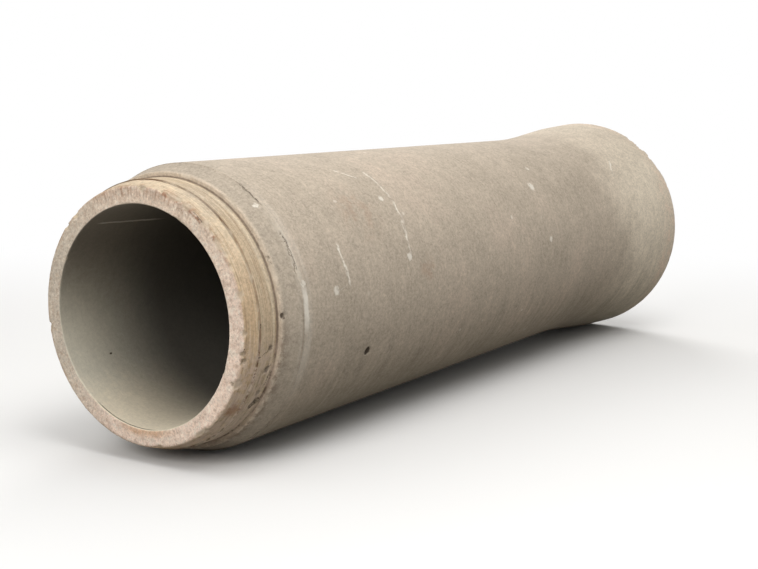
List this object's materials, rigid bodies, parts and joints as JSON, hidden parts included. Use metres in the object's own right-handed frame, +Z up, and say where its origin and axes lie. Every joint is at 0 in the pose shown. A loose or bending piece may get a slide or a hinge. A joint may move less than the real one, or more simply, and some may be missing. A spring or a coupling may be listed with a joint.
{
  "type": "concrete culvert pipe",
  "caption": "Round precast concrete culvert pipe with a bell socket at one end and a tapered spigot at the other, for buried drains and culverts.",
  "frame": {"origin": "bottom centre of the bounding box, under the middle of the pipe as it lies on its bell", "axes": "+X along the waterway from the spigot's face to the bell's face, +Z up, the pipe's axis level"},
  "size_m": [2.5334, 0.8022, 0.8023],
  "materials": {
    "concrete": "rough cast, weathered, matt"
  },
  "bodies": {
    "root": {"concrete_pipe": "concrete"}
  },
  "joints": []
}
